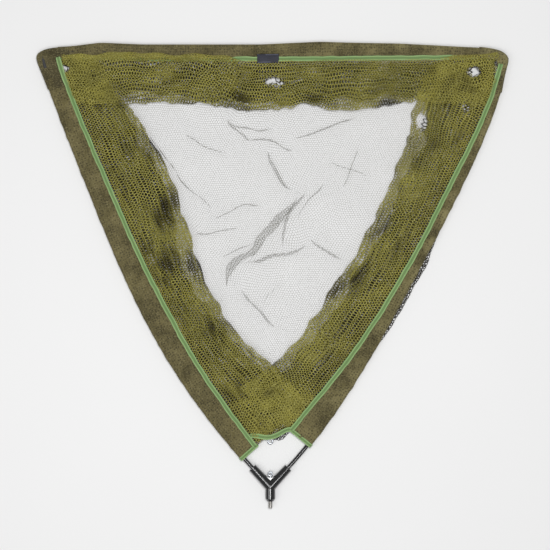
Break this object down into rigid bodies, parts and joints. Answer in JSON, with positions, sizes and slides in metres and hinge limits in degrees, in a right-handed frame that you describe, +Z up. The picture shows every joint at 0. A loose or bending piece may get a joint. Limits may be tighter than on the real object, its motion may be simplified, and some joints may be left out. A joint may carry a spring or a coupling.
{
  "type": "landing net",
  "caption": "Triangular landing net head with bowed arms in a forked spreader block, fabric rim sleeves, green rim tape and a soft mesh bag folded down on the ground.",
  "frame": {"origin": "where the handle stud leaves the spreader block, on the stud's axis", "axes": "+Y from the block over the net, so the stud points along -Y; +Z up from the ground that the net lies on; +X to the right"},
  "size_m": [1.0412, 1.0239, 0.0226],
  "materials": {
    "block_plastic": "moulded gloss",
    "stud_metal": "cut thread",
    "eye_metal": "bright zinc",
    "arm_fibre": "lacquered glass fibre",
    "plug_metal": "turned",
    "cap_rubber": "moulded",
    "pocket_fabric": "woven",
    "sleeve_fabric": "knitted",
    "rim_tape": "woven tape",
    "cord": "braided",
    "label": "woven",
    "netting": "knotless mesh"
  },
  "bodies": {
    "spreader": {"spreader_block": "block_plastic", "handle_stud": "stud_metal", "keeper_eye": "eye_metal", "rim_eyelet": "eye_metal", "front_rim_tape": "rim_tape", "top_sleeve": "sleeve_fabric", "top_rim_tape": "rim_tape", "top_cord": "cord", "cord_knots": "cord", "label_tag": "label", "left_net_wall": "netting", "right_net_wall": "netting", "top_net_wall": "netting", "net_base": "netting"},
    "left_side": {"left_arm": "arm_fibre", "left_butt_plug": "plug_metal", "left_tip_cap": "cap_rubber", "left_corner_pocket": "pocket_fabric", "left_sleeve": "sleeve_fabric", "left_cuff": "rim_tape", "left_rim_tape": "rim_tape"},
    "right_side": {"right_arm": "arm_fibre", "right_butt_plug": "plug_metal", "right_tip_cap": "cap_rubber", "right_corner_pocket": "pocket_fabric", "right_sleeve": "sleeve_fabric", "right_cuff": "rim_tape", "right_rim_tape": "rim_tape"}
  },
  "joints": [
    {"name": "left_arm_pull", "type": "slide", "parent": "spreader", "child": "left_side", "axis": [-0.682, 0.7314, 0], "range_m": [0, 0.044]},
    {"name": "right_arm_pull", "type": "slide", "parent": "spreader", "child": "right_side", "axis": [0.682, 0.7314, 0], "range_m": [0, 0.044]}
  ]
}
